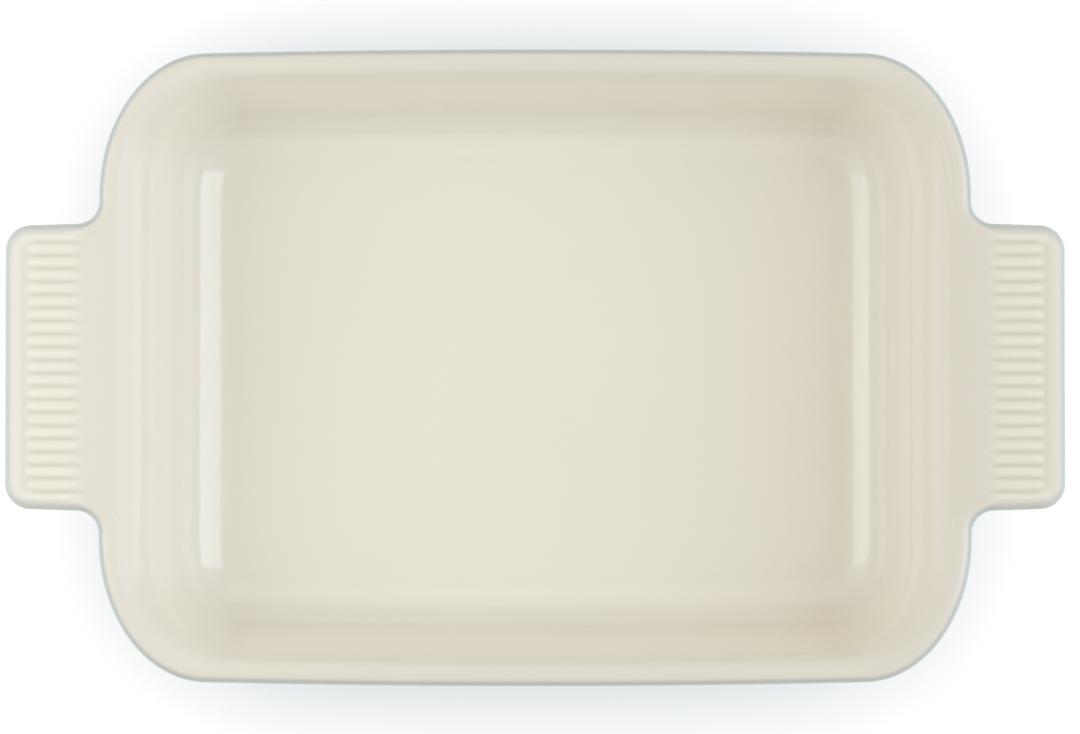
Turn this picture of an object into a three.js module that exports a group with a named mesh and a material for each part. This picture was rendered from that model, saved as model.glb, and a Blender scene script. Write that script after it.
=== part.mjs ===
// Rectangular stoneware baking dish with a ribbed tab handle at each end.
// It is glazed cream inside, over the rim and on top of the handles, pale blue on the outside and under
// the base, and left bare on the foot ring that it stands on.
// Units are millimetres and +Z is up. The origin is on the table under the middle of the dish, and X runs
// along the dish through both handles.

import * as THREE from 'three';

const { clamp, degToRad, lerp, smoothstep } = THREE.MathUtils;

// Outline of the glazed dish, seen from above
const BODY_LENGTH = 274; // over the rim, without the handles
const WIDTH = 200;
const CORNER_LENGTH = 34; // quarter-ellipse of each corner, along the dish and across it
const CORNER_WIDTH = 45;
const SIDE_BOW = 1.2; // how far the long sides swell towards their middle
const HANDLE_REACH = 29; // how far a handle stands out from the rim
const HANDLE_WIDTH = 89; // at the tip
const HANDLE_SPREAD = 0.5; // how much wider each side of a handle is at its root
const HANDLE_CORNER = 8;
const NOTCH_RADIUS = 7; // hollow corner between handle and rim

// Heights and wall
const RIM_HEIGHT = 62;
const FOOT_HEIGHT = 2; // table to the base panel inside the foot ring
const FOOT_WIDTH = 6;
const FOOT_SLOPE = 1.2; // how far the inner side of the foot ring leans in
const FLOOR = 7;
const WALL = 6.6;
const SHORT_DRAFT = degToRad(10.5); // lean of the short walls, which carry the handles
const LONG_DRAFT = degToRad(13);
const SHORT_LEDGE = 14.8; // edge of the rim to the inner wall's line, both at rim height
const LONG_LEDGE = 7.5;
const SHORT_FLOOR_RADIUS = 18;
const LONG_FLOOR_RADIUS = 18;
const FLOOR_CORNER = 6; // corner radius of the flat part of the floor
const BASE_RADIUS = 12; // round from the outer wall into the foot ring

// Rim and handle sections
const EDGE_RADIUS = 3; // half-round edge of rim and handles, measured across
const RIM_THICKNESS = 7;
const HANDLE_THICKNESS = 8.5; // at the tip
const HANDLE_RISE = 3; // how far the tip stands above the rim
const SHORT_FLARE = 15; // depth below the crest at which the rim's curve leaves each inner wall
const LONG_FLARE = 6;
const SHORT_NECK = 11; // depth below the rim's underside at which its curve meets each outer wall
const LONG_NECK = 6;
const HANDLE_NECK = 22;
const NECK_CORE = 12; // half-width of the stretch of outer wall that runs out in full into the handle
const CURVE_FULLNESS = 0.56; // pull of a curve towards its corner, close to a quarter of an ellipse

// Ribs across the top of each handle, and the channel that parts them from the lip at the tip
const RIB_COUNT = 21;
const RIB_HEIGHT = 1;
const RIB_FLATNESS = 3; // the higher, the broader the ribs and the narrower the grooves between them
const RIBS_FROM_LIP = 23; // lip crest to the roots of the ribs, along the handle
const RIB_FADE = 6; // length over which a rib rises out of its root
const RIB_END = 6.2; // lip crest to the ends of the ribs
const CHANNEL_FROM_LIP = 3; // lip crest to the middle of the channel
const CHANNEL_DEPTH = 0.6;

// Glaze
const GLAZE = 0.45;
const GLAZE_SEAM = degToRad(40); // where the cream meets the blue, up from the widest part of the edge
const GLAZE_LINE = 1.1; // height above the table at which the blue stops on the foot

// How finely curves are divided
const TAB_STEPS = 3;
const TAB_CORNER_STEPS = 2;
const NOTCH_STEPS = 4;
const CORNER_STEPS = 6;
const LONG_SIDE_STEPS = 2;
const STEPS_PER_RIB = 4;
const FLOOR_ROUND_STEPS = 3;
const UNDERSIDE_STEPS = 3;
const SAME_PLACE = 1e-6; // rays that differ by less than this in their order stand opposite each other

// Sizes that follow from those above
const halfBody = BODY_LENGTH / 2;
const halfWidth = WIDTH / 2;
const tip = halfBody + HANDLE_REACH;
const tabHalf = HANDLE_WIDTH / 2;
const tabRoot = tabHalf + HANDLE_SPREAD;
const cornerWidth = Math.min(CORNER_WIDTH, halfWidth - SIDE_BOW - tabRoot - NOTCH_RADIUS);
const crestInset = GLAZE + EDGE_RADIUS;
const rimCrest = RIM_HEIGHT - GLAZE;
const rimCrestHalf = halfBody - crestInset;
const handleSlope = (2 * HANDLE_RISE) / HANDLE_REACH; // of the handle's top where it leaves the rim
const floorTop = FOOT_HEIGHT + FLOOR - GLAZE;
const baseTop = FOOT_HEIGHT + GLAZE;
const ribSpan = tabHalf - crestInset; // the outermost ribs are the crests of the handle's own sides
const ribPitch = (2 * ribSpan) / (RIB_COUNT - 1);
const quarterTurn = Math.PI / 2;

// Half-length and half-width of the inner and outer wall at a height
function insideAt(z) {
  const below = RIM_HEIGHT - z;
  return {
    a: halfBody - SHORT_LEDGE - below * Math.tan(SHORT_DRAFT),
    b: halfWidth - LONG_LEDGE - below * Math.tan(LONG_DRAFT),
  };
}

function outsideAt(z) {
  const inside = insideAt(z);
  return {
    a: inside.a + WALL / Math.cos(SHORT_DRAFT),
    b: inside.b + WALL / Math.cos(LONG_DRAFT),
  };
}

// A round between a level plane and a leaning wall. The angle is 0 on the plane and grows up the wall.
function roundInto(wallLine, draft, radius, level, angle) {
  const meetsWall = level + radius * (1 - Math.sin(draft));
  const centre = wallLine(meetsWall) - radius * Math.cos(draft);
  return {
    half: centre + radius * Math.sin(angle),
    z: level + radius * (1 - Math.cos(angle)),
  };
}

// The round at the foot of a wall on a short and on a long side, at an angle that may depend on the draft
function roundSections(wallAt, shortRadius, longRadius, level, angleFor) {
  const shortAngle = angleFor(SHORT_DRAFT);
  const longAngle = angleFor(LONG_DRAFT);
  return {
    short: roundInto((z) => wallAt(z).a, SHORT_DRAFT, shortRadius, level, shortAngle),
    long: roundInto((z) => wallAt(z).b, LONG_DRAFT, longRadius, level, longAngle),
  };
}

const floorRound = (angleFor) =>
  roundSections(insideAt, SHORT_FLOOR_RADIUS, LONG_FLOOR_RADIUS, floorTop, angleFor);
const baseRound = (angleFor) => roundSections(outsideAt, BASE_RADIUS, BASE_RADIUS, 0, angleFor);

// Corner radii of a level ring of half-width b, from the flat part of the floor out to the rim
const flatFloorHalf = floorRound(() => 0).long.half;

function cornerAt(b) {
  const share = (b - flatFloorHalf) / (halfWidth - flatFloorHalf);
  return new THREE.Vector2(
    lerp(FLOOR_CORNER, CORNER_LENGTH, share),
    lerp(FLOOR_CORNER, cornerWidth, share),
  );
}

// Rays: each is one upright section of a quarter of the dish. It knows where it crosses a level ring of
// half-length a and half-width b, its point on the finished edge with the outward direction there, and its
// place in the order round the dish. Three shares from 0 to 1 say how far it is a long-side section, how
// far it runs out over the handle, and how much of the neck under the handle it has.
function makeRay({ on, edge, normal, long = 0, tab = 0, neck = 0, order, ribPlace = null }) {
  const rise = tipShare(edge.x - crestInset * normal.x);
  const crest = rimCrest + HANDLE_RISE * rise;
  const halfThickness = lerp(RIM_THICKNESS, HANDLE_THICKNESS, rise) / 2 - GLAZE;
  const underside = crest - 2 * halfThickness;
  const outer = outsideAt(underside);
  const wallToEdge = on(outer.a, outer.b).distanceTo(edge) - GLAZE;
  const underReach = Math.min(EDGE_RADIUS, wallToEdge / 2);
  const ray = { on, edge, normal, long, tab, neck, order, ribPlace, crest, halfThickness, underReach };
  ray.top = topCurve(ray);
  ray.under = underCurve(ray);
  return ray;
}

// Share of the handle's rise at a distance from the middle of the dish: a parabola, level at the tip
function tipShare(x) {
  const left = 1 - clamp((x - rimCrestHalf) / HANDLE_REACH, 0, 1);
  return 1 - left * left;
}

// Point of the clay on the half-round edge, from its crest at +90 degrees to its underside at -90
function edgePoint(ray, angle) {
  const reach = angle < 0 ? ray.underReach : EDGE_RADIUS;
  const inset = GLAZE + reach * (1 - Math.cos(angle));
  return new THREE.Vector3(
    ray.edge.x - inset * ray.normal.x,
    ray.edge.y - inset * ray.normal.y,
    ray.crest - ray.halfThickness * (1 - Math.sin(angle)),
  );
}

function onWall(ray, wallAt, z) {
  const { a, b } = wallAt(z);
  const plan = ray.on(a, b);
  return new THREE.Vector3(plan.x, plan.y, z);
}

// Curve that leaves the inner wall, follows its lean and comes over to the crest of the rim. On the handle
// it comes in at the slope of the handle's top, and goes on along that top.
function topCurve(ray) {
  const end = edgePoint(ray, quarterTurn);
  const start = onWall(ray, insideAt, rimCrest - lerp(SHORT_FLARE, LONG_FLARE, ray.long));
  const corner = onWall(ray, insideAt, rimCrest);
  const outAlong = ray.tab > 0 ? (rimCrestHalf - corner.x) / (end.x - corner.x) : 1;
  const crest = corner.clone().lerp(end, outAlong).setZ(rimCrest);
  const over = corner.clone().lerp(crest, 1 - CURVE_FULLNESS);
  over.z -= ray.tab * handleSlope * over.distanceTo(crest);
  const path = new THREE.CurvePath();
  path.add(new THREE.CubicBezierCurve3(start, start.clone().lerp(corner, CURVE_FULLNESS), over, crest));
  if (ray.tab > 0) {
    const middle = crest.clone().lerp(end, 0.5).setZ(rimCrest + (handleSlope * (end.x - crest.x)) / 2);
    path.add(new THREE.QuadraticBezierCurve3(crest, middle, end));
  }
  return path;
}

// Curve that leaves the outer wall at the depth of the neck below the edge, and comes in level at the edge.
// It bends within the width of the rim, and over the whole length of the handle where the neck is full.
function underCurve(ray) {
  const end = edgePoint(ray, -quarterTurn);
  const depth = lerp(lerp(SHORT_NECK, LONG_NECK, ray.long), HANDLE_NECK, ray.neck);
  const start = onWall(ray, outsideAt, end.z - depth);
  const corner = onWall(ray, outsideAt, end.z);
  const length = corner.distanceTo(end);
  const bend = lerp(Math.min(SHORT_LEDGE, length), length, ray.neck);
  return new THREE.CubicBezierCurve3(
    start,
    start.clone().lerp(corner, CURVE_FULLNESS),
    corner.clone().lerp(end, (1 - CURVE_FULLNESS) * (bend / length)),
    end,
  );
}

// Where the corner starts on the short side, where the notch runs out into the rim, and how far along the
// wall the handle's neck has faded out
const cornerStart = halfWidth - SIDE_BOW - cornerWidth;
const notchRadius = Math.min(NOTCH_RADIUS, HANDLE_REACH / 2);
const tabCorner = Math.min(HANDLE_CORNER, HANDLE_REACH - notchRadius, tabHalf);
const tabCornerX = tip - tabCorner;
const tabCornerY = tabHalf - tabCorner;
const notchX = halfBody + notchRadius;
const notchY = tabRoot + notchRadius;
const neckEnd = (notchY + cornerStart) / 2;
const neckFade = (along) => 1 - smoothstep(along, NECK_CORE, neckEnd);

// Sections through the notch leave the wall evenly spaced. Those through the tip leave it a little closer
// together than they reach the tip, so that they keep the same space from the side of the handle.
const sideCrest = tabRoot - crestInset;
const notchStep = (neckEnd - sideCrest) / NOTCH_STEPS;
const fan = (sideCrest - notchStep) / ribSpan;

// A section that leaves the short wall at a distance from its middle
function endRay(along, place) {
  return makeRay({
    on: (a) => new THREE.Vector2(a, along),
    neck: neckFade(along),
    order: along,
    ...place,
  });
}

// A section through the tip of the handle. Its crest lies at the given distance from the handle's middle.
function tipRay(along) {
  const sine = Math.min(1, Math.max(0, along - tabCornerY) / (tabCorner - crestInset));
  const normal = new THREE.Vector2(Math.sqrt(1 - sine * sine), sine);
  const edge = new THREE.Vector2(
    tabCornerX + tabCorner * normal.x,
    along + crestInset * normal.y,
  );
  return endRay(fan * along, { edge, normal, tab: 1, ribPlace: along });
}

// A section through the notch, at a share of the way from the side of the handle to the rim
function notchRay(share) {
  const angle = share * quarterTurn;
  const normal = new THREE.Vector2(Math.sin(angle), Math.cos(angle));
  const edge = new THREE.Vector2(notchX - notchRadius * normal.x, notchY - notchRadius * normal.y);
  return endRay(lerp(sideCrest, neckEnd, share), { edge, normal, tab: 1 - share });
}

function cornerRay(angle) {
  const direction = new THREE.Vector2(Math.cos(angle), Math.sin(angle));
  const on = (a, b) => {
    const radii = cornerAt(b);
    return new THREE.Vector2(a, b - SIDE_BOW).sub(radii).add(direction.clone().multiply(radii));
  };
  const turn = angle / quarterTurn;
  return makeRay({
    on,
    edge: on(halfBody, halfWidth),
    normal: new THREE.Vector2(cornerWidth * direction.x, CORNER_LENGTH * direction.y).normalize(),
    long: smoothstep(turn, 0, 1),
    order: cornerStart + turn * cornerWidth,
  });
}

// A section across a long side, at a share of the straight stretch from its middle to the corner
function longRay(share) {
  const on = (a, b) => new THREE.Vector2((a - cornerAt(b).x) * share, b - SIDE_BOW * share * share);
  return makeRay({
    on,
    edge: on(halfBody, halfWidth),
    normal: new THREE.Vector2(0, 1),
    long: 1,
    order: cornerStart + cornerWidth + (1 - share) * halfBody,
  });
}

const steps = (count, from, to) =>
  Array.from({ length: count }, (_, i) => lerp(from, to, (i + 1) / count));

// From the side of the handle, through the notch and round the corner, to the middle of the long side
const restOfQuarter = [
  ...[0, ...steps(NOTCH_STEPS, 0, 1)].map(notchRay),
  ...[0, ...steps(CORNER_STEPS, 0, quarterTurn)].map(cornerRay),
  ...steps(LONG_SIDE_STEPS, 1, 0).map(longRay),
];
const cornerTurns = steps(TAB_CORNER_STEPS, 0, quarterTurn);
const plainQuarter = [
  ...[0, ...steps(TAB_STEPS, 0, tabCornerY)].map(tipRay),
  ...cornerTurns.map((angle) => tipRay(lerp(tabCornerY, ribSpan, Math.sin(angle)))),
  ...restOfQuarter,
];
const ribbedQuarter = [
  ...[0, ...steps(((RIB_COUNT - 1) / 2) * STEPS_PER_RIB, 0, ribSpan)].map(tipRay),
  ...restOfQuarter,
];

// Depth of the hollows between the ribs, and of the channel, as shares of the rib height
const fromSide = (ray) => (ribSpan - ray.ribPlace) / ribPitch;
const hollow = (ray) => Math.abs(Math.sin(Math.PI * fromSide(ray))) ** RIB_FLATNESS;
const channel = (ray) => (CHANNEL_DEPTH / RIB_HEIGHT) * Math.min(1, 2 * fromSide(ray));
const noDepth = () => 0;

// Loops: a loop is a row of points round the whole dish, one for each ray. Together they run from the
// middle of the floor, up the wall, over the rim and the handles, and down to the middle of the base.
function roundLoop(sections) {
  return {
    rays: plainQuarter,
    at: (ray) => {
      const plan = ray.on(sections.short.half, sections.long.half);
      return new THREE.Vector3(plan.x, plan.y, lerp(sections.short.z, sections.long.z, ray.long));
    },
  };
}

function levelLoop(sections, inset, z) {
  return {
    rays: plainQuarter,
    at: (ray) => {
      const plan = ray.on(sections.short.half - inset, sections.long.half - inset);
      return new THREE.Vector3(plan.x, plan.y, z);
    },
  };
}

// Lengths along the handle's middle section: over the flare to the crest of the rim, and to the tip
const [flareLength, topLength] = plainQuarter[0].top.getCurveLengths();

// Point of a section that matches a distance along the handle's middle section
function handlePlace(ray, along) {
  const [flare, whole] = ray.top.getCurveLengths();
  if (along <= flareLength) return (along * flare) / flareLength;
  return lerp(flare, whole, (along - flareLength) / (topLength - flareLength));
}

// A row across the top. In the handle it lies at a distance along the middle section, and beyond the notch at
// a share of the way from the wall to the crest of the rim. The ribs run straight along X.
function topLoop({ rays, along, depth = noDepth }, rimShare) {
  const straightened = Math.min(1, along / (topLength - RIBS_FROM_LIP));
  return {
    rays,
    at: (ray) => {
      const length = ray.top.getLength();
      const place = ray.tab > 0 ? handlePlace(ray, along) / length : rimShare;
      const point = ray.top.getPoint(lerp(rimShare, place, ray.tab));
      if (ray.ribPlace === null) return point;
      point.y = ray.ribPlace * lerp(fan, 1, straightened);
      point.z -= RIB_HEIGHT * depth(ray);
      return point;
    },
  };
}

const fromLip = (distance) => topLength - distance;
const topRows = [
  { rays: plainQuarter, along: 0 },
  { rays: plainQuarter, along: flareLength / 2 },
  { rays: plainQuarter, along: flareLength },
  { rays: ribbedQuarter, along: fromLip(RIBS_FROM_LIP) },
  { rays: ribbedQuarter, along: fromLip(RIBS_FROM_LIP - RIB_FADE), depth: hollow },
  { rays: ribbedQuarter, along: fromLip(RIB_END), depth: hollow },
  { rays: ribbedQuarter, along: fromLip(CHANNEL_FROM_LIP), depth: channel },
];

const underLoop = (share) => ({ rays: plainQuarter, at: (ray) => ray.under.getPoint(share) });
const edgeLoop = (angle) => ({ rays: plainQuarter, at: (ray) => edgePoint(ray, angle) });
const wallAngle = (draft) => quarterTurn - draft;

const glazeLineAngle = Math.acos(1 - GLAZE_LINE / BASE_RADIUS);
const footOuter = baseRound(() => 0);
const seam = edgeLoop(GLAZE_SEAM);
const footGlazeLine = roundLoop(baseRound(() => glazeLineAngle));
const basePanel = levelLoop(footOuter, FOOT_WIDTH + FOOT_SLOPE, baseTop);

const loops = [
  ...[0, ...steps(FLOOR_ROUND_STEPS, 0, 1)].map((share) =>
    roundLoop(floorRound((draft) => share * wallAngle(draft))),
  ),
  ...topRows.map((row, i) => topLoop(row, i / topRows.length)),
  edgeLoop(quarterTurn),
  edgeLoop((quarterTurn + GLAZE_SEAM) / 2),
  seam,
  edgeLoop(0),
  edgeLoop(-quarterTurn / 2),
  ...[1, ...steps(UNDERSIDE_STEPS, 1, 0)].map(underLoop),
  roundLoop(baseRound(wallAngle)),
  roundLoop(baseRound((draft) => (wallAngle(draft) + glazeLineAngle) / 2)),
  footGlazeLine,
  roundLoop(footOuter),
  levelLoop(footOuter, FOOT_WIDTH, 0),
  basePanel,
];

// The whole loop of a quarter, mirrored from the first quarter round to the fourth
function mirrorQuarter(rays) {
  const first = rays.map((ray) => ({ ray, x: 1, y: 1, order: ray.order }));
  const lap = 2 * rays.at(-1).order;
  const backwards = first.slice(0, -1).reverse();
  const second = backwards.map((p) => ({ ...p, x: -1, order: lap - p.order }));
  const third = first.slice(1).map((p) => ({ ...p, x: -1, y: -1, order: lap + p.order }));
  const fourth = backwards.slice(0, -1).map((p) => ({ ...p, y: -1, order: 2 * lap - p.order }));
  return { places: [...first, ...second, ...third, ...fourth], end: 2 * lap };
}

const points = [];

function addPoint(x, y, z) {
  points.push(new THREE.Vector3(x, y, z));
  return points.length - 1;
}

function addLoop({ rays, at }) {
  const { places, end } = mirrorQuarter(rays);
  const spots = new Map(rays.map((ray) => [ray, at(ray)]));
  const loop = places.map(({ ray, x, y, order }) => {
    const spot = spots.get(ray);
    return { point: addPoint(x * spot.x, y * spot.y, spot.z), order };
  });
  return { loop, end };
}

// Triangles between two loops, which may have different counts of points
function stitch(inner, outer) {
  const next = ({ loop, end }, i) => ({
    point: loop[i % loop.length].point,
    order: loop[i % loop.length].order + (i >= loop.length ? end : 0),
  });
  const triangles = [];
  let i = 0;
  let o = 0;
  while (i < inner.loop.length || o < outer.loop.length) {
    const here = { inner: next(inner, i), outer: next(outer, o) };
    const ahead = { inner: next(inner, i + 1), outer: next(outer, o + 1) };
    const lead = ahead.inner.order - ahead.outer.order;
    const innerCut = points[ahead.inner.point].distanceTo(points[here.outer.point]);
    const outerCut = points[ahead.outer.point].distanceTo(points[here.inner.point]);
    const level = Math.abs(lead) < SAME_PLACE;
    if (level ? innerCut < outerCut : lead < 0) {
      triangles.push([here.inner.point, here.outer.point, ahead.inner.point]);
      i += 1;
    } else {
      triangles.push([here.inner.point, here.outer.point, ahead.outer.point]);
      o += 1;
    }
  }
  return triangles;
}

const pairs = ({ loop }) => loop.map(({ point }, i) => [point, loop[(i + 1) % loop.length].point]);

const floorMiddle = addPoint(0, 0, floorTop);
const rows = loops.map(addLoop);
const baseMiddle = addPoint(0, 0, baseTop);
const bands = [
  pairs(rows[0]).map(([from, to]) => [floorMiddle, from, to]),
  ...rows.slice(1).map((row, i) => stitch(rows[i], row)),
  pairs(rows.at(-1)).map(([from, to]) => [from, baseMiddle, to]),
];

function solid(corners, triangles) {
  const used = [...new Set(triangles.flat())];
  const places = new Map(used.map((corner, i) => [corner, i]));
  const geometry = new THREE.BufferGeometry().setFromPoints(used.map((corner) => corners[corner]));
  geometry.setIndex(triangles.flat().map((corner) => places.get(corner)));
  geometry.computeVertexNormals();
  return geometry;
}

const clay = solid(points, bands.flat());

// Glaze surface: every point of the clay, moved out by the thickness of the glaze
const bodyOrder = [...new Set(bands.flat(2))];
const clayNormals = clay.getAttribute('normal');
const glazed = [];
bodyOrder.forEach((corner, i) => {
  const normal = new THREE.Vector3().fromBufferAttribute(clayNormals, i);
  glazed[corner] = points[corner].clone().addScaledVector(normal, GLAZE);
});

const turnOver = ([p, q, r]) => [p, r, q];

// A coat of glaze between two loops of the clay. Without a first or last loop it closes over the middle.
function coat(firstLoop, lastLoop) {
  const from = firstLoop ? loops.indexOf(firstLoop) : -1;
  const to = lastLoop ? loops.indexOf(lastLoop) : loops.length;
  const lift = points.length;
  const covered = bands.slice(from + 1, to + 1).flat();
  const triangles = [
    ...covered.map((triangle) => triangle.map((corner) => corner + lift)),
    ...covered.map(turnOver),
  ];
  const edge = (row) =>
    pairs(row).flatMap(([p, q]) => [
      [p + lift, q + lift, q],
      [p + lift, q, p],
    ]);
  if (firstLoop) triangles.push(...edge(rows[from]));
  if (lastLoop) triangles.push(...edge(rows[to]).map(turnOver));
  return solid([...points, ...glazed], triangles);
}

const dish = new THREE.Group();
dish.name = 'baking_dish';

function addPiece(name, geometry, color, roughness) {
  const piece = new THREE.Mesh(geometry, new THREE.MeshStandardMaterial({ color, roughness, metalness: 0 }));
  piece.name = name;
  dish.add(piece);
}

addPiece('stoneware_body', clay, 0xd8c7ab, 0.85);
addPiece('interior_glaze', coat(null, seam), 0xe9e5d6, 0.16);
addPiece('exterior_glaze', coat(seam, footGlazeLine), 0xaac3c9, 0.18);
addPiece('base_glaze', coat(basePanel, null), 0xaac3c9, 0.18);

export default dish;
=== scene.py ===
"""Rectangular stoneware baking dish with ribbed tab handles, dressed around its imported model.

The coats of glaze and the clay are made again as fine meshes on the same sections as the solids: upright
sections that run from the middle of the floor over the rim and the handles to the middle of the base.
Shapes are worked out in millimetres, and made in metres. The studio round the dish is in metres.
"""

from dataclasses import dataclass
from math import acos, cos, pi, radians, sin, sqrt, tan
from typing import Callable

import bpy
import numpy as np
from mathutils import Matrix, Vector


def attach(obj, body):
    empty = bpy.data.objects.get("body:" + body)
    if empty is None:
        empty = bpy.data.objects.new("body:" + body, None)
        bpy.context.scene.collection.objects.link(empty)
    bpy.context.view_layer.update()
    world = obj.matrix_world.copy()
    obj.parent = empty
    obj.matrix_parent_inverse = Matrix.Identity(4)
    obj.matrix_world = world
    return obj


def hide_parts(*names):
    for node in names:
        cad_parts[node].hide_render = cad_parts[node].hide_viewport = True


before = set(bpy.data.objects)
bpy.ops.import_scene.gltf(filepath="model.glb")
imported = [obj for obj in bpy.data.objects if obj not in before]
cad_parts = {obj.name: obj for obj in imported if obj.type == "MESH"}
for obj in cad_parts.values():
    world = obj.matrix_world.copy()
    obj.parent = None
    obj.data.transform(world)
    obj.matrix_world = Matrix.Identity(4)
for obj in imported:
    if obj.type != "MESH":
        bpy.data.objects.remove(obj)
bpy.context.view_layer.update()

MM = 0.001
QUARTER_TURN = pi / 2

# Outline of the glazed dish, seen from above
BODY_LENGTH = 274
WIDTH = 200
CORNER_LENGTH = 34  # quarter-ellipse of each corner, along the dish and across it
CORNER_WIDTH = 45
SIDE_BOW = 1.2  # how far the long sides bow out to their middle
HANDLE_REACH = 29
HANDLE_WIDTH = 89
HANDLE_SPREAD = 0.5  # added to the half-width at the root of the handle
HANDLE_CORNER = 8
NOTCH_RADIUS = 7

# Heights and walls, which differ between the short ends and the long sides
RIM_HEIGHT = 62
FOOT_HEIGHT = 2
FOOT_WIDTH = 6
FOOT_SLOPE = 1.2
FLOOR_THICKNESS = 7
WALL_THICKNESS = 6.6
SHORT_DRAFT = radians(10.5)
LONG_DRAFT = radians(13)
SHORT_LEDGE = 14.8  # from the edge in to the line of the inner wall, at the height of the rim
LONG_LEDGE = 7.5
SHORT_FLOOR_RADIUS = 18
LONG_FLOOR_RADIUS = 18
FLOOR_CORNER = 6
BASE_RADIUS = 12

# Rim and handle sections
EDGE_RADIUS = 3
RIM_THICKNESS = 7
HANDLE_THICKNESS = 8.5
HANDLE_RISE = 3
SHORT_FLARE = 15
LONG_FLARE = 6
SHORT_NECK = 11
LONG_NECK = 6
HANDLE_NECK = 22
NECK_CORE = 12  # half-width over which the neck under the handle is full
FAN_STEP = 4  # space that sections through the tip keep from the side of the handle, at the wall
CURVE_FULLNESS = 0.56
BEAD_WIDTH = 6.3  # band of the rim that stands a little proud of the flare inside it
BEAD_FLANK = 1.4
BEAD_DEPTH = 0.45
BEAD_ONSET = 0.6  # share of the flare's section over which that depth comes in

# Ribs, and the channel that parts them from the lip
RIB_COUNT = 21
RIB_HEIGHT = 1
RIB_FLATNESS = 3  # the higher, the broader the ribs and the narrower the grooves between them
RIBS_FROM_LIP = 23  # from the crest of the lip back to where the ribs begin
RIB_FADE = 6  # length over which they come in
RIB_END = 6.2  # from the crest of the lip back to where they end
CHANNEL_FROM_LIP = 3
CHANNEL_DEPTH = 0.6

# Glaze
GLAZE = 0.45
GLAZE_SEAM = radians(40)  # angle on the half-round edge at which cream meets blue
GLAZE_LINE = 1.1  # height above the table at which the glaze on the walls ends

# How finely the surface is divided
STEPS_PER_RIB = 10
TAB_CORNER_STEPS = 12
NOTCH_STEPS = 14
CORNER_STEPS = 22
LONG_SIDE_STEPS = 14
FLOOR_RINGS = (0.04, 0.3, 0.6, 0.85)
FLOOR_ROUND_STEPS = 14
WALL_STEPS = 4
FLARE_STEPS = 16
ROOT_STEPS = 4
RIB_FADE_STEPS = 6
RIB_STEPS = 12
CHANNEL_STEPS = 12
EDGE_STEPS = 6
UNDERSIDE_STEPS = 14
BASE_ROUND_STEPS = 8
FOOT_STEPS = 3
CURVE_SAMPLES = 160
SHARP_ANGLE = radians(50)  # turn between faces from which their edge is shaded sharp

# Colours of the glazes
CREAM = (0.85, 0.83, 0.745)
CREAM_DEEP = (0.84, 0.82, 0.73)
CREAM_RIM_SHADE = (0.78, 0.76, 0.685)  # painted shade on the rim, darker where less light falls on the flare
CREAM_RIB_HIGHLIGHT = (0.87, 0.85, 0.765)  # painted highlight on the ribbed end of the handles
CREAM_HOLLOW_SHADE = (0.72, 0.695, 0.61)  # painted shade in the hollows between the ribs and in the channel
BLUE = (0.40, 0.54, 0.58)
BLUE_DEEP = (0.35, 0.495, 0.54)
RIM_SHADE_DEPTHS = (8, 2)  # depths below the rim between which the painted shade of the rim comes in and the gloss drops
RIB_REACH = (3, 10)  # distances out of the body's end between which the ribs' painted highlight and the handle's seam colour come in

# Seam, where the two glazes run into each other over a distance; on the cream side the seam colours are also
# grey with painted shade on the edge
CREAM_SEAM_SHADE = (0.52, 0.58, 0.57)
CREAM_FADE = 1.7
HANDLE_SEAM_SHADE = (0.62, 0.65, 0.625)
HANDLE_FADE = 4
BLUE_SEAM = (0.56, 0.64, 0.64)
BLUE_FADE = 5

# Gloss of the glazes, with noise scales per metre
GLAZE_IOR = 1.5
GLAZE_ROUGHNESS = (0.09, 0.15)
RIM_ROUGHNESS = 0.1  # added on the rim's band of painted shade
CREAM_GLOSS = 0.5
RIM_GLOSS = 0.27
TONE_SCALE = 14
ROUGHNESS_SCALE = 60
WAVE_SCALE = 45
WAVE_HEIGHT = 0.04
RIPPLE_SCALE = 420
RIPPLE_HEIGHT = 0.004

# Bare clay
CLAY = (0.66, 0.54, 0.39)
CLAY_DARK = (0.52, 0.41, 0.28)
CLAY_ROUGHNESS = 0.85
GRAIN_SCALE = 900
GRAIN_HEIGHT = 0.08

# Studio floor and world, each with a colour that lights the dish and another for where it is seen
FLOOR_HALF = 4
FLOOR_WHITE = (0.9, 0.9, 0.9)
FLOOR_SHADED = (0.2, 0.2, 0.2)  # where it is seen, and most of its white is a glow
FLOOR_GLOW = 0.87
OPEN_GLOW = (1, 1, 1)
CONTACT_SHADOW_GLOW = (0.675, 0.71, 0.72)  # painted contact shadow: the dimmer glow close to the dish
CONTACT_REACH = 0.045  # how near the dish has to be to dim the glow with that painted shadow
CONTACT_OPENNESS = (0.55, 0.98)  # how open the floor is where the glow is dimmest, and where it is full
CONTACT_SAMPLES = 16
AMBIENT = (0.45, 0.405, 0.32)
BACKDROP = (1, 1, 1)

# Lights and camera
COOL_WHITE = (0.865, 0.99, 1.19)
NEUTRAL_WHITE = (1, 1, 1)
WARM_WHITE = (1.1, 0.96, 0.9)
CAMERA_SENSOR = 36  # width in millimetres, as for the lens
CAMERA_LENS = 135
CAMERA_ASIDE = 1.5  # millimetres along the dish from its middle to the camera
CAMERA_TILT = radians(1.2)
CAMERA_DISTANCE = 1.268  # metres from the height of the rim

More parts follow.
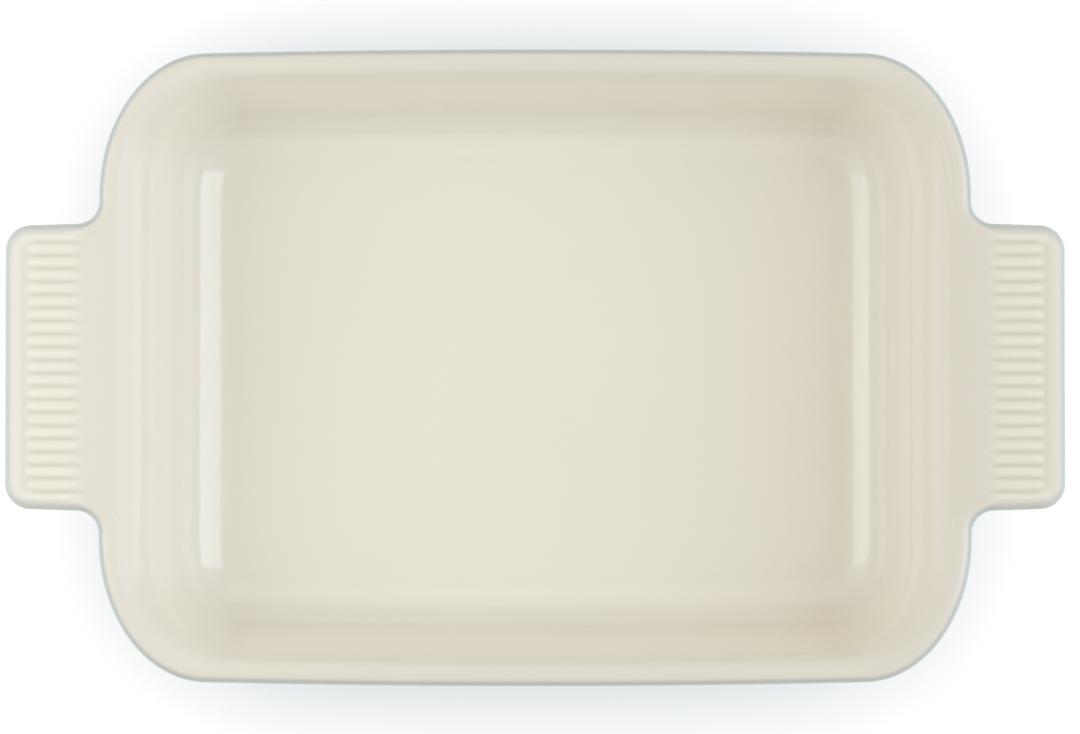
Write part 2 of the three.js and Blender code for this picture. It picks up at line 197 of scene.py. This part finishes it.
half_body = BODY_LENGTH / 2
half_width = WIDTH / 2
tip = half_body + HANDLE_REACH
tab_half = HANDLE_WIDTH / 2
tab_root = tab_half + HANDLE_SPREAD
crest_inset = GLAZE + EDGE_RADIUS
rim_crest = RIM_HEIGHT - GLAZE
rim_crest_half = half_body - crest_inset
handle_slope = 2 * HANDLE_RISE / HANDLE_REACH  # of the handle's top where it leaves the rim
floor_top = FOOT_HEIGHT + FLOOR_THICKNESS - GLAZE
base_top = FOOT_HEIGHT + GLAZE
rib_span = tab_half - crest_inset
rib_pitch = 2 * rib_span / (RIB_COUNT - 1)


def lerp(start, end, share):
    return start + (end - start) * share


def smoothstep(value, low, high):
    share = min(1, max(0, (value - low) / (high - low)))
    return share * share * (3 - 2 * share)


def steps(count, start, end):
    """Even steps to the end, without the start."""
    return [lerp(start, end, (i + 1) / count) for i in range(count)]


# Walls and the rounds at their foot
def inside_at(z):
    """Half-length and half-width of the ring that the inner walls make at a height."""
    below = RIM_HEIGHT - z
    a = half_body - SHORT_LEDGE - below * tan(SHORT_DRAFT)
    b = half_width - LONG_LEDGE - below * tan(LONG_DRAFT)
    return a, b


def outside_at(z):
    a, b = inside_at(z)
    return a + WALL_THICKNESS / cos(SHORT_DRAFT), b + WALL_THICKNESS / cos(LONG_DRAFT)


def foot_rounds(wall_at, radii, level, angle_for):
    """Half-size and height on the rounds between a level plane and the leaning walls, at a short end and at
    a long side. The angle for each draft is counted from 0 on the plane."""
    sections = []
    for side, (draft, radius) in enumerate(zip((SHORT_DRAFT, LONG_DRAFT), radii)):
        meets_wall = level + radius * (1 - sin(draft))
        centre = wall_at(meets_wall)[side] - radius * cos(draft)
        angle = angle_for(draft)
        sections.append((centre + radius * sin(angle), level + radius * (1 - cos(angle))))
    return sections


def floor_round(angle_for):
    return foot_rounds(inside_at, (SHORT_FLOOR_RADIUS, LONG_FLOOR_RADIUS), floor_top, angle_for)


def base_round(angle_for):
    return foot_rounds(outside_at, (BASE_RADIUS, BASE_RADIUS), 0, angle_for)


def wall_angle(draft):
    return QUARTER_TURN - draft


flat_floor_half = floor_round(lambda draft: 0)[1][0]


def corner_at(b):
    """Corner radii of a level ring of half-width b."""
    share = (b - flat_floor_half) / (half_width - flat_floor_half)
    return np.array([lerp(FLOOR_CORNER, CORNER_LENGTH, share), lerp(FLOOR_CORNER, CORNER_WIDTH, share)])


# Where the handle, its notch and its neck end along the short side
corner_start = half_width - SIDE_BOW - CORNER_WIDTH
notch_x = half_body + NOTCH_RADIUS
notch_y = tab_root + NOTCH_RADIUS
tab_corner_x = tip - HANDLE_CORNER
tab_corner_y = tab_half - HANDLE_CORNER
neck_end = (notch_y + corner_start) / 2
side_crest = tab_root - crest_inset
fan = (side_crest - FAN_STEP) / rib_span


def bezier(start, leaving, arriving, end):
    t = np.linspace(0, 1, CURVE_SAMPLES)[:, None]
    left = 1 - t
    return start * left**3 + 3 * leaving * t * left**2 + 3 * arriving * t**2 * left + end * t**3


class Path:
    """Curve through close points, measured along its length."""

    def __init__(self, points):
        self.points = points
        along = np.linalg.norm(np.diff(points, axis=0), axis=1).cumsum()
        self.length = along[-1]
        self.along = np.concatenate([[0], along])

    def at(self, share):
        place = share * self.length
        return np.array([np.interp(place, self.along, self.points[:, i]) for i in range(3)])


def tip_share(x):
    """Share of the handle's rise at a distance from the middle of the dish: a parabola, level at the tip."""
    left = 1 - min(1, max(0, (x - rim_crest_half) / HANDLE_REACH))
    return 1 - left * left


def side_share(x):
    """The same along the handle's side, which is straight from the notch to the corner of the tip."""
    if notch_x < x < tab_corner_x:
        return lerp(tip_share(notch_x), tip_share(tab_corner_x), (x - notch_x) / (tab_corner_x - notch_x))
    return tip_share(x)


@dataclass
class Ray:
    """One upright section of a quarter of the dish."""

    on: Callable  # where it crosses a level ring of half-length a and half-width b
    edge: np.ndarray  # its point on the finished edge, seen from above
    normal: np.ndarray  # direction out of the edge there
    long: float = 0  # how far it is a section across a long side
    tab: float = 0  # how far it runs out over the handle
    neck: float = 0  # how much of the neck under the handle it has
    rib_place: float | None = None  # place of its crest across the handle's tip

    def __post_init__(self):
        rise = tip_share(self.edge[0] - crest_inset * self.normal[0])
        self.crest = rim_crest + HANDLE_RISE * rise
        self.half_thickness = lerp(RIM_THICKNESS, HANDLE_THICKNESS, rise) / 2 - GLAZE
        underside = self.crest - 2 * self.half_thickness
        wall_to_edge = np.linalg.norm(self.on(*outside_at(underside)) - self.edge) - GLAZE
        self.under_reach = min(EDGE_RADIUS, wall_to_edge / 2)
        self.top = self.top_curve()
        self.under = self.under_curve()

    def on_wall(self, wall_at, z):
        return np.array([*self.on(*wall_at(z)), z])

    def edge_point(self, angle):
        """Point of the clay on the half-round edge, from its crest at +90 degrees to its underside."""
        reach = self.under_reach if angle < 0 else EDGE_RADIUS
        inset = GLAZE + reach * (1 - cos(angle))
        plan = self.edge - inset * self.normal
        return np.array([*plan, self.crest - self.half_thickness * (1 - sin(angle))])

    def top_curve(self):
        """Curve from the inner wall over to the crest of the rim, and on the handle out along its top."""
        end = self.edge_point(QUARTER_TURN)
        start = self.on_wall(inside_at, rim_crest - lerp(SHORT_FLARE, LONG_FLARE, self.long))
        corner = self.on_wall(inside_at, rim_crest)
        out_along = (rim_crest_half - corner[0]) / (end[0] - corner[0]) if self.tab else 1
        crest = lerp(corner, end, out_along)
        crest[2] = rim_crest
        over = lerp(corner, crest, 1 - CURVE_FULLNESS)
        over[2] -= self.tab * handle_slope * np.linalg.norm(crest - over)
        points = bezier(start, lerp(start, corner, CURVE_FULLNESS), over, crest)
        self.flare_length = Path(points).length
        if self.tab:
            share = np.linspace(0, 1, CURVE_SAMPLES)[1:, None]
            handle_top = lerp(crest, end, share)
            at_side = smoothstep(self.rib_place or 0, tab_corner_y, rib_span)
            rise = [lerp(tip_share(x), side_share(x), at_side) for x in handle_top[:, 0]]
            handle_top[:, 2] = rim_crest + HANDLE_RISE * np.array(rise)
            points = np.concatenate([points, handle_top])
        return Path(points)

    def under_curve(self):
        """Curve from the outer wall to the underside of the edge, out to the tip where the neck is full."""
        end = self.edge_point(-QUARTER_TURN)
        neck_depth = lerp(lerp(SHORT_NECK, LONG_NECK, self.long), HANDLE_NECK, self.neck)
        start = self.on_wall(outside_at, end[2] - neck_depth)
        corner = self.on_wall(outside_at, end[2])
        length = np.linalg.norm(end - corner)
        bend = lerp(min(SHORT_LEDGE, length), length, self.neck)
        arriving = lerp(corner, end, (1 - CURVE_FULLNESS) * bend / length)
        return Path(bezier(start, lerp(start, corner, CURVE_FULLNESS), arriving, end))


# Sections through the handle, the notch, the corner and the long side
def end_ray(along, **place):
    """A section through a short end, at the same distance along it on every ring."""
    fade = 1 - smoothstep(along, NECK_CORE, neck_end)
    return Ray(on=lambda a, b: np.array([a, along]), neck=fade, **place)


def tip_ray(along):
    sine = min(1, max(0, along - tab_corner_y) / (HANDLE_CORNER - crest_inset))
    normal = np.array([sqrt(1 - sine * sine), sine])
    edge = np.array([tab_corner_x + HANDLE_CORNER * normal[0], along + crest_inset * sine])
    return end_ray(fan * along, edge=edge, normal=normal, tab=1, rib_place=along)


def notch_ray(share):
    angle = share * QUARTER_TURN
    normal = np.array([sin(angle), cos(angle)])
    edge = np.array([notch_x, notch_y]) - NOTCH_RADIUS * normal
    return end_ray(lerp(side_crest, neck_end, share), edge=edge, normal=normal, tab=1 - share)


def corner_ray(angle):
    direction = np.array([cos(angle), sin(angle)])

    def on(a, b):
        return np.array([a, b - SIDE_BOW]) - corner_at(b) * (1 - direction)

    normal = np.array([CORNER_WIDTH, CORNER_LENGTH]) * direction
    normal /= np.linalg.norm(normal)
    long = smoothstep(angle, 0, QUARTER_TURN)
    return Ray(on=on, edge=on(half_body, half_width), normal=normal, long=long)


def long_ray(share):
    def on(a, b):
        return np.array([(a - corner_at(b)[0]) * share, b - SIDE_BOW * share * share])

    return Ray(on=on, edge=on(half_body, half_width), normal=np.array([0, 1]), long=1)


def quarter_rays():
    plain_ribs = round(tab_corner_y / rib_pitch * STEPS_PER_RIB)
    corner_turns = steps(TAB_CORNER_STEPS, 0, QUARTER_TURN)
    return [
        *map(tip_ray, [0, *steps(plain_ribs, 0, tab_corner_y)]),
        *[tip_ray(lerp(tab_corner_y, rib_span, sin(turn))) for turn in corner_turns],
        *map(notch_ray, [0, *steps(NOTCH_STEPS, 0, 1)]),
        *map(corner_ray, [0, *steps(CORNER_STEPS, 0, QUARTER_TURN)]),
        *map(long_ray, steps(LONG_SIDE_STEPS, 1, 0)),
    ]


quarter = quarter_rays()
flare_length = quarter[0].flare_length
top_length = quarter[0].top.length


# Relief of the handle's top, as shares of the rib height
def from_side(ray):
    """Distance from the side of the handle, counted in ribs."""
    return (rib_span - ray.rib_place) / rib_pitch


def hollow(ray):
    return abs(sin(pi * from_side(ray))) ** RIB_FLATNESS


def channel(ray):
    return CHANNEL_DEPTH / RIB_HEIGHT * smoothstep(from_side(ray), 0, 1)


def relief(ray, from_lip):
    """Depth below the plain top at a distance from the crest of the lip."""
    if from_lip >= RIB_END:
        rooted = smoothstep(from_lip, RIBS_FROM_LIP - RIB_FADE, RIBS_FROM_LIP)
        return (1 - rooted) * hollow(ray)
    if from_lip >= CHANNEL_FROM_LIP:
        return lerp(channel(ray), hollow(ray), smoothstep(from_lip, CHANNEL_FROM_LIP, RIB_END))
    return channel(ray) * smoothstep(from_lip, 0, CHANNEL_FROM_LIP)


def depth(ray, from_lip):
    """The same for any section, with no relief beside the handle."""
    return 0 if ray.rib_place is None else relief(ray, from_lip)


# Rows: each gives a point for every ray
def round_row(sections):
    (a, short_z), (b, long_z) = sections
    return [np.array([*ray.on(a, b), lerp(short_z, long_z, ray.long)]) for ray in quarter]


def shrunk_row(row, share):
    return [point * (share, share, 1) for point in row]


def between_rows(first, last, share):
    return [lerp(p, q, share) for p, q in zip(first, last)]


def level_row(sections, inset, z):
    (a, _), (b, _) = sections
    return [np.array([*ray.on(a - inset, b - inset), z]) for ray in quarter]


def bead_depth(ray, point, share):
    """How far the flare lies below the line of the rim's band."""
    width = np.linalg.norm(point[:2] - ray.edge)
    inside = smoothstep(width, BEAD_WIDTH - BEAD_FLANK / 2, BEAD_WIDTH + BEAD_FLANK / 2)
    return BEAD_DEPTH * inside * smoothstep(share, 0, BEAD_ONSET) * (1 - ray.tab) * (1 - ray.long)


def handle_share(ray, along):
    """Share of a section that matches a distance along the handle's middle section."""
    if along <= flare_length:
        return along / flare_length * ray.flare_length / ray.top.length
    beyond = (along - flare_length) / (top_length - flare_length)
    return lerp(ray.flare_length / ray.top.length, 1, beyond)


def top_row(along, rim_share):
    """A row at a distance along the handle's middle section, and at a share of the rim's sections."""
    straightened = min(1, along / (top_length - RIBS_FROM_LIP))
    row = []
    for ray in quarter:
        share = lerp(rim_share, handle_share(ray, along), ray.tab) if ray.tab else rim_share
        point = ray.top.at(share)
        if ray.rib_place is not None:
            point[1] = ray.rib_place * lerp(fan, 1, straightened)
        point[2] -= bead_depth(ray, point, share) + RIB_HEIGHT * depth(ray, top_length - along)
        row.append(point)
    return row


def edge_row(angle):
    return [ray.edge_point(angle) for ray in quarter]


def under_row(share):
    return [ray.under.at(share) for ray in quarter]


def top_distances():
    """Places of the rows of the flare and the handle's top, along the handle's middle section."""
    rib_root = top_length - RIBS_FROM_LIP
    rib_full = top_length - (RIBS_FROM_LIP - RIB_FADE)
    rib_end = top_length - RIB_END
    return [
        0,
        *steps(FLARE_STEPS, 0, flare_length),
        *steps(ROOT_STEPS, flare_length, rib_root),
        *steps(RIB_FADE_STEPS, rib_root, rib_full),
        *steps(RIB_STEPS, rib_full, rib_end),
        *steps(CHANNEL_STEPS, rib_end, top_length)[:-1],
    ]


def dish_rows():
    """All rows from the middle of the floor to the middle of the base, the depth of the relief at their
    points, and the numbers of the rows that part the coats of glaze: the seam on the edge, the glaze line on
    the foot and the edge of the base panel."""
    flat = round_row(floor_round(lambda draft: 0))
    rows = [shrunk_row(flat, share) for share in FLOOR_RINGS]
    rows += [
        round_row(floor_round(lambda draft: share * wall_angle(draft)))
        for share in [0, *steps(FLOOR_ROUND_STEPS, 0, 1)]
    ]
    distances = top_distances()
    top = [top_row(distance, i / len(distances)) for i, distance in enumerate(distances)]
    top_hollows = [[depth(ray, top_length - distance) for ray in quarter] for distance in distances]
    foot_of_wall = rows[-1]
    rows += [between_rows(foot_of_wall, top[0], share) for share in steps(WALL_STEPS, 0, 1)[:-1]]
    first_top = len(rows)
    rows += top
    rows += map(edge_row, [QUARTER_TURN, *steps(EDGE_STEPS, QUARTER_TURN, GLAZE_SEAM)])
    seam = len(rows) - 1
    rows += map(edge_row, [*steps(EDGE_STEPS, GLAZE_SEAM, 0), *steps(EDGE_STEPS, 0, -QUARTER_TURN)])
    rows += map(under_row, steps(UNDERSIDE_STEPS, 1, 0))
    wall_head = rows[-1]
    wall_foot = round_row(base_round(wall_angle))
    rows += [between_rows(wall_head, wall_foot, share) for share in steps(WALL_STEPS, 0, 1)]
    line_angle = acos(1 - GLAZE_LINE / BASE_RADIUS)
    rows += [
        round_row(base_round(lambda draft: lerp(wall_angle(draft), line_angle, share)))
        for share in steps(BASE_ROUND_STEPS, 0, 1)
    ]
    glaze_line = len(rows) - 1
    foot_outer = base_round(lambda draft: 0)
    rows += [
        round_row(base_round(lambda draft: line_angle * share)) for share in steps(FOOT_STEPS, 1, 0)
    ]
    foot_edge = rows[-1]
    foot_inner = level_row(foot_outer, FOOT_WIDTH, 0)
    rows += [between_rows(foot_edge, foot_inner, share) for share in steps(FOOT_STEPS, 0, 1)]
    panel = level_row(foot_outer, FOOT_WIDTH + FOOT_SLOPE, base_top)
    rows += [between_rows(foot_inner, panel, share) for share in steps(FOOT_STEPS, 0, 1)]
    base_panel = len(rows) - 1
    rows += [shrunk_row(panel, share) for share in reversed(FLOOR_RINGS)]
    hollows = np.zeros((len(rows), len(quarter)))
    hollows[first_top : first_top + len(top)] = top_hollows
    return np.array(rows), hollows, seam, glaze_line, base_panel


def all_round(quarter_rows, mirrors=(1, 1, 1, 1)):
    """Rows of a quarter, repeated round the whole dish, with a factor for each quarter that mirrors it."""
    back = quarter_rows[:, -2::-1]
    quarters = (quarter_rows, back, quarter_rows[:, 1:], back[:, :-1])
    return np.concatenate([rows * mirror for rows, mirror in zip(quarters, mirrors)], axis=1)


def outward(points):
    """Directions out of the surface at its points."""
    across = np.gradient(points, axis=0)
    around = np.roll(points, -1, axis=1) - np.roll(points, 1, axis=1)
    normal = np.cross(across, around)
    return normal / np.linalg.norm(normal, axis=2, keepdims=True)


def distances_from(row):
    """Distance of each point of the surface from a row, along its section."""
    pieces = np.linalg.norm(np.diff(clay, axis=0), axis=2)
    along = np.concatenate([np.zeros((1, clay.shape[1])), pieces.cumsum(axis=0)])
    return abs(along - along[row])


quarter_points, quarter_hollows, seam_row, glaze_line_row, base_panel_row = dish_rows()
point_mirrors = ((1, 1, 1), (-1, 1, 1), (-1, -1, 1), (1, -1, 1))
clay = all_round(quarter_points, point_mirrors)
glazed = clay + GLAZE * outward(clay)
last_row = len(clay) - 1


# Meshes, with marks on their points that the materials read
SEAM_MARK = "from_seam"  # distance from the seam of the glazes, in millimetres
HOLLOW_MARK = "hollow"  # depth of the relief on the handles, as a share of the ribs' height
marks = {SEAM_MARK: distances_from(seam_row), HOLLOW_MARK: all_round(quarter_hollows)}


class Shell:
    """Collects a closed mesh from grids of points."""

    def __init__(self):
        self.points = []
        self.faces = []
        self.marks = {name: [] for name in marks}

    def grid(self, points, first=0, flip=False):
        """Adds a grid that closes round the dish, marked as the surface's rows are from the first one on,
        and returns the numbers of its points."""
        start = len(self.points)
        self.points.extend(points.reshape(-1, 3))
        for name, values in marks.items():
            self.marks[name].extend(values[first : first + len(points)].ravel())
        numbers = start + np.arange(points.shape[0] * points.shape[1]).reshape(points.shape[:2])
        self.strip(numbers, flip)
        return numbers

    def strip(self, numbers, flip=False):
        here, beside = numbers, np.roll(numbers, -1, axis=1)
        corners = [here[:-1], here[1:], beside[1:], beside[:-1]]
        if flip:
            corners.reverse()
        self.faces.extend(np.stack(corners, axis=-1).reshape(-1, 4).tolist())

    def cap(self, ring, height, flip=False):
        """Closes a small level ring round the middle of the dish."""
        middle = len(self.points)
        self.points.append(np.array([0, 0, height]))
        for values in self.marks.values():
            values.append(values[ring[0]])
        for near, far in zip(ring, np.roll(ring, -1)):
            self.faces.append([middle, far, near] if flip else [middle, near, far])

    def piece(self, name):
        mesh = bpy.data.meshes.new(name)
        mesh.from_pydata((np.array(self.points) * MM).tolist(), [], self.faces)
        for mark, values in self.marks.items():
            mesh.attributes.new(mark, "FLOAT", "POINT").data.foreach_set("value", values)
        mesh.validate()
        mesh.shade_smooth()
        mesh.set_sharp_from_angle(angle=SHARP_ANGLE)
        obj = bpy.data.objects.new(name, mesh)
        bpy.context.scene.collection.objects.link(obj)
        return obj


def coat(name, first, last):
    """A closed coat of glaze from one row of the clay to another."""
    shell = Shell()
    outer = shell.grid(glazed[first : last + 1], first)
    inner = shell.grid(clay[first : last + 1], first, flip=True)
    if first == 0:
        shell.cap(outer[0], glazed[0, 0, 2])
        shell.cap(inner[0], clay[0, 0, 2], flip=True)
    else:
        shell.strip(np.stack([inner[0], outer[0]]))
    if last == last_row:
        shell.cap(outer[-1], glazed[-1, 0, 2], flip=True)
        shell.cap(inner[-1], clay[-1, 0, 2])
    else:
        shell.strip(np.stack([outer[-1], inner[-1]]))
    return shell.piece(name)


def clay_body():
    shell = Shell()
    surface = shell.grid(clay)
    shell.cap(surface[0], clay[0, 0, 2])
    shell.cap(surface[-1], clay[-1, 0, 2], flip=True)
    return shell.piece("clay_body")


# Materials
class Nodes:
    """Adds nodes to a tree and feeds their sockets."""

    def __init__(self, tree):
        self.tree = tree

    def add(self, kind, **values):
        node = self.tree.nodes.new(kind)
        for key, value in values.items():
            setattr(node, key, value)
        return node

    def feed(self, socket, value):
        """Links a socket to the output of a node, or sets it to a colour or a number."""
        if isinstance(value, bpy.types.NodeSocket):
            self.tree.links.new(value, socket)
        elif isinstance(value, tuple):
            socket.default_value = (*value, 1)
        else:
            socket.default_value = value

    def spread(self, source, low, high, start=0.3, end=0.7, course="LINEAR"):
        """Stretches part of a range, by default the middle that a noise keeps to, over another range."""
        node = self.add("ShaderNodeMapRange", interpolation_type=course)
        self.feed(node.inputs["Value"], source)
        for key, value in (("From Min", start), ("From Max", end), ("To Min", low), ("To Max", high)):
            self.feed(node.inputs[key], value)
        return node.outputs["Result"]

    def mix(self, share, first, second):
        node = self.add("ShaderNodeMix", data_type="RGBA")
        for key, value in (("Factor", share), ("A", first), ("B", second)):
            self.feed(node.inputs[key], value)
        return node.outputs["Result"]

    def calculate(self, operation, *values):
        node = self.add("ShaderNodeMath", operation=operation)
        for socket, value in zip(node.inputs, values):
            self.feed(socket, value)
        return node.outputs["Value"]

    def seen(self):
        """1 for rays that show a surface, straight or in a gloss, and 0 for those that bring its light."""
        path = self.add("ShaderNodeLightPath").outputs
        in_view = self.calculate("MAXIMUM", path["Is Camera Ray"], path["Is Glossy Ray"])
        return self.calculate("MAXIMUM", in_view, path["Is Transmission Ray"])


class Material(Nodes):
    """A material whose Principled shader is fed by other nodes."""

    def __init__(self, name):
        self.material = bpy.data.materials.new(name)
        self.material.use_nodes = True
        super().__init__(self.material.node_tree)
        self.place = self.add("ShaderNodeTexCoord").outputs["Object"]

    def shade(self, key, value):
        self.feed(self.tree.nodes["Principled BSDF"].inputs[key], value)

    def mark(self, name):
        return self.add("ShaderNodeAttribute", attribute_name=name).outputs["Fac"]

    def noise(self, scale, detail=3, roughness=0.5):
        node = self.add("ShaderNodeTexNoise")
        for key, value in (("Scale", scale), ("Detail", detail), ("Roughness", roughness)):
            self.feed(node.inputs[key], value)
        self.feed(node.inputs["Vector"], self.place)
        return node.outputs["Fac"]

    def bump(self, height, distance, after=None):
        node = self.add("ShaderNodeBump")
        self.feed(node.inputs["Height"], height)
        self.feed(node.inputs["Distance"], distance)
        if after:
            self.feed(node.inputs["Normal"], after)
        return node.outputs["Normal"]


class Glaze(Material):
    """Gloss glaze that varies a little in tone and runs into the other glaze at the seam."""

    def __init__(self, name, colour, deep, seam, fade):
        super().__init__(name)
        tone = self.spread(self.noise(TONE_SCALE, detail=4), 0, 1)
        self.colour = self.mix(tone, colour, deep)
        self.rough = self.spread(self.noise(ROUGHNESS_SCALE), *GLAZE_ROUGHNESS)
        self.seam = seam
        self.fade = fade
        waves = self.bump(self.noise(WAVE_SCALE, detail=1), WAVE_HEIGHT * MM)
        self.shade("Normal", self.bump(self.noise(RIPPLE_SCALE, detail=2), RIPPLE_HEIGHT * MM, waves))
        self.shade("IOR", GLAZE_IOR)

    def finish(self):
        near_seam = self.spread(self.mark(SEAM_MARK), 1, 0, 0, self.fade, "SMOOTHSTEP")
        self.shade("Base Color", self.mix(near_seam, self.colour, self.seam))
        self.shade("Roughness", self.rough)
        return self.material


def cream_material():
    """Cream glaze, with painted shade and less gloss on the rim, a painted highlight on the ribbed ends of
    the handles, and painted shade in the relief of the handles.
    """
    glaze = Glaze("cream_glaze", CREAM, CREAM_DEEP, CREAM_SEAM_SHADE, CREAM_FADE)
    place = glaze.add("ShaderNodeSeparateXYZ")
    glaze.feed(place.inputs["Vector"], glaze.place)
    # painted shade: the cream turns darker towards the rim, where less light falls on the flare, and it also
    # loses gloss there
    shaded_rim_heights = [(RIM_HEIGHT - below) * MM for below in RIM_SHADE_DEPTHS]
    shaded_rim = glaze.spread(place.outputs["Z"], 0, 1, *shaded_rim_heights, "SMOOTHSTEP")
    from_middle = glaze.calculate("ABSOLUTE", place.outputs["X"])
    rib_places = [(half_body + reach) * MM for reach in RIB_REACH]
    on_ribs = glaze.spread(from_middle, 0, 1, *rib_places, "SMOOTHSTEP")
    glaze.colour = glaze.mix(shaded_rim, glaze.colour, CREAM_RIM_SHADE)
    # painted highlight: the ribbed ends of the handles are lighter
    glaze.colour = glaze.mix(on_ribs, glaze.colour, CREAM_RIB_HIGHLIGHT)
    # painted shade, darker with the depth of the relief
    glaze.colour = glaze.mix(glaze.mark(HOLLOW_MARK), glaze.colour, CREAM_HOLLOW_SHADE)
    # seam colour on the cream side: the glazes running into each other, plus painted shade on the edge,
    # wider on the handles
    glaze.seam = glaze.mix(on_ribs, CREAM_SEAM_SHADE, HANDLE_SEAM_SHADE)
    glaze.fade = glaze.spread(on_ribs, CREAM_FADE, HANDLE_FADE, 0, 1)
    glaze.rough = glaze.calculate("ADD", glaze.rough, glaze.spread(shaded_rim, 0, RIM_ROUGHNESS, 0, 1))
    glaze.shade("Specular IOR Level", glaze.spread(shaded_rim, CREAM_GLOSS, RIM_GLOSS, 0, 1))
    return glaze.finish()


def clay_material():
    clay_nodes = Material("bare_clay")
    grain = clay_nodes.spread(clay_nodes.noise(GRAIN_SCALE, detail=6, roughness=0.7), 0, 1)
    clay_nodes.shade("Base Color", clay_nodes.mix(grain, CLAY, CLAY_DARK))
    clay_nodes.shade("Normal", clay_nodes.bump(grain, GRAIN_HEIGHT * MM))
    clay_nodes.shade("Roughness", CLAY_ROUGHNESS)
    return clay_nodes.material


cream_glaze = cream_material()
blue_glaze = Glaze("blue_glaze", BLUE, BLUE_DEEP, BLUE_SEAM, BLUE_FADE).finish()
bare_clay = clay_material()


def dress(piece, node, material):
    piece.data.materials.append(material)
    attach(piece, "root")
    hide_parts(node)


dress(clay_body(), "stoneware_body", bare_clay)
dress(coat("interior_glaze_coat", 0, seam_row), "interior_glaze", cream_glaze)
dress(coat("exterior_glaze_coat", seam_row, glaze_line_row), "exterior_glaze", blue_glaze)
dress(coat("base_glaze_coat", base_panel_row, last_row), "base_glaze", blue_glaze)


# Studio floor and world
def white_floor():
    """White that lights the dish, and that glows where it is seen, with a painted contact shadow that dims
    the glow close to the dish.
    """
    white = Material("white_floor")
    seen = white.seen()
    white.shade("Base Color", white.mix(seen, FLOOR_WHITE, FLOOR_SHADED))
    white.shade("Emission Strength", white.spread(seen, 0, FLOOR_GLOW, 0, 1))
    # painted contact shadow: the glow dims where the dish closes off the sky over the floor
    around = white.add("ShaderNodeAmbientOcclusion", samples=CONTACT_SAMPLES)
    white.feed(around.inputs["Distance"], CONTACT_REACH)
    openness = white.spread(around.outputs["AO"], 0, 1, *CONTACT_OPENNESS)
    white.shade("Emission Color", white.mix(openness, CONTACT_SHADOW_GLOW, OPEN_GLOW))
    white.shade("Roughness", 1)
    white.shade("Specular IOR Level", 0)
    return white.material


def make_floor(half):
    mesh = bpy.data.meshes.new("floor")
    corners = [(-half, -half, 0), (half, -half, 0), (half, half, 0), (-half, half, 0)]
    mesh.from_pydata(corners, [], [(0, 1, 2, 3)])
    mesh.materials.append(white_floor())
    floor = bpy.data.objects.new("floor", mesh)
    bpy.context.scene.collection.objects.link(floor)


def light_world():
    world = bpy.data.worlds.new("studio")
    bpy.context.scene.world = world
    world.use_nodes = True
    nodes = Nodes(world.node_tree)
    background = world.node_tree.nodes["Background"]
    nodes.feed(background.inputs["Color"], nodes.mix(nodes.seen(), AMBIENT, BACKDROP))


make_floor(FLOOR_HALF)
light_world()


# Lights and camera
def softbox(name, bearing, elevations, away, across, radiance, colour):
    """A softbox that faces the middle of the dish from a bearing, between two elevations, in degrees. It
    stands away from the middle and measures across in metres."""
    low, high = map(radians, elevations)
    middle = (low + high) / 2
    light = bpy.data.lights.new(name, "AREA")
    light.shape = "RECTANGLE"
    light.size = across
    light.size_y = 2 * away * tan((high - low) / 2)
    light.energy = radiance * light.size * light.size_y * pi
    light.color = colour
    lamp = bpy.data.objects.new(name, light)
    level = away * cos(middle)
    direction = Vector((level * cos(radians(bearing)), level * sin(radians(bearing)), away * sin(middle)))
    lamp.location = direction + Vector((0, 0, RIM_HEIGHT / 2 * MM))
    lamp.rotation_euler = (-direction).to_track_quat("-Z", "Y").to_euler()
    lamp.visible_camera = False
    bpy.context.scene.collection.objects.link(lamp)


def make_lights():
    side_screen = {"elevations": (8, 65), "away": 1, "across": 0.8, "colour": WARM_WHITE}
    softbox("right_softbox", 0, (6, 62), away=1.6, across=0.9, radiance=2.6, colour=COOL_WHITE)
    softbox("left_softbox", 180, (18, 58), away=0.6, across=0.25, radiance=1.85, colour=COOL_WHITE)
    softbox("left_screen", 180, (6, 62), away=0.9, across=1.2, radiance=0.6, colour=NEUTRAL_WHITE)
    softbox("back_screen", 90, radiance=0.45, **side_screen)
    softbox("front_screen", 270, radiance=0.37, **side_screen)


def make_camera():
    camera = bpy.data.cameras.new("camera")
    camera.sensor_width = CAMERA_SENSOR
    camera.lens = CAMERA_LENS
    rig = bpy.data.objects.new("camera", camera)
    aim = Vector((CAMERA_ASIDE, 0, RIM_HEIGHT)) * MM
    lift = CAMERA_DISTANCE * cos(CAMERA_TILT)
    rig.location = aim + Vector((0, -CAMERA_DISTANCE * sin(CAMERA_TILT), lift))
    rig.rotation_euler = (CAMERA_TILT, 0, 0)
    bpy.context.scene.collection.objects.link(rig)
    bpy.context.scene.camera = rig


make_lights()
make_camera()
bpy.context.scene.view_settings.view_transform = "Standard"
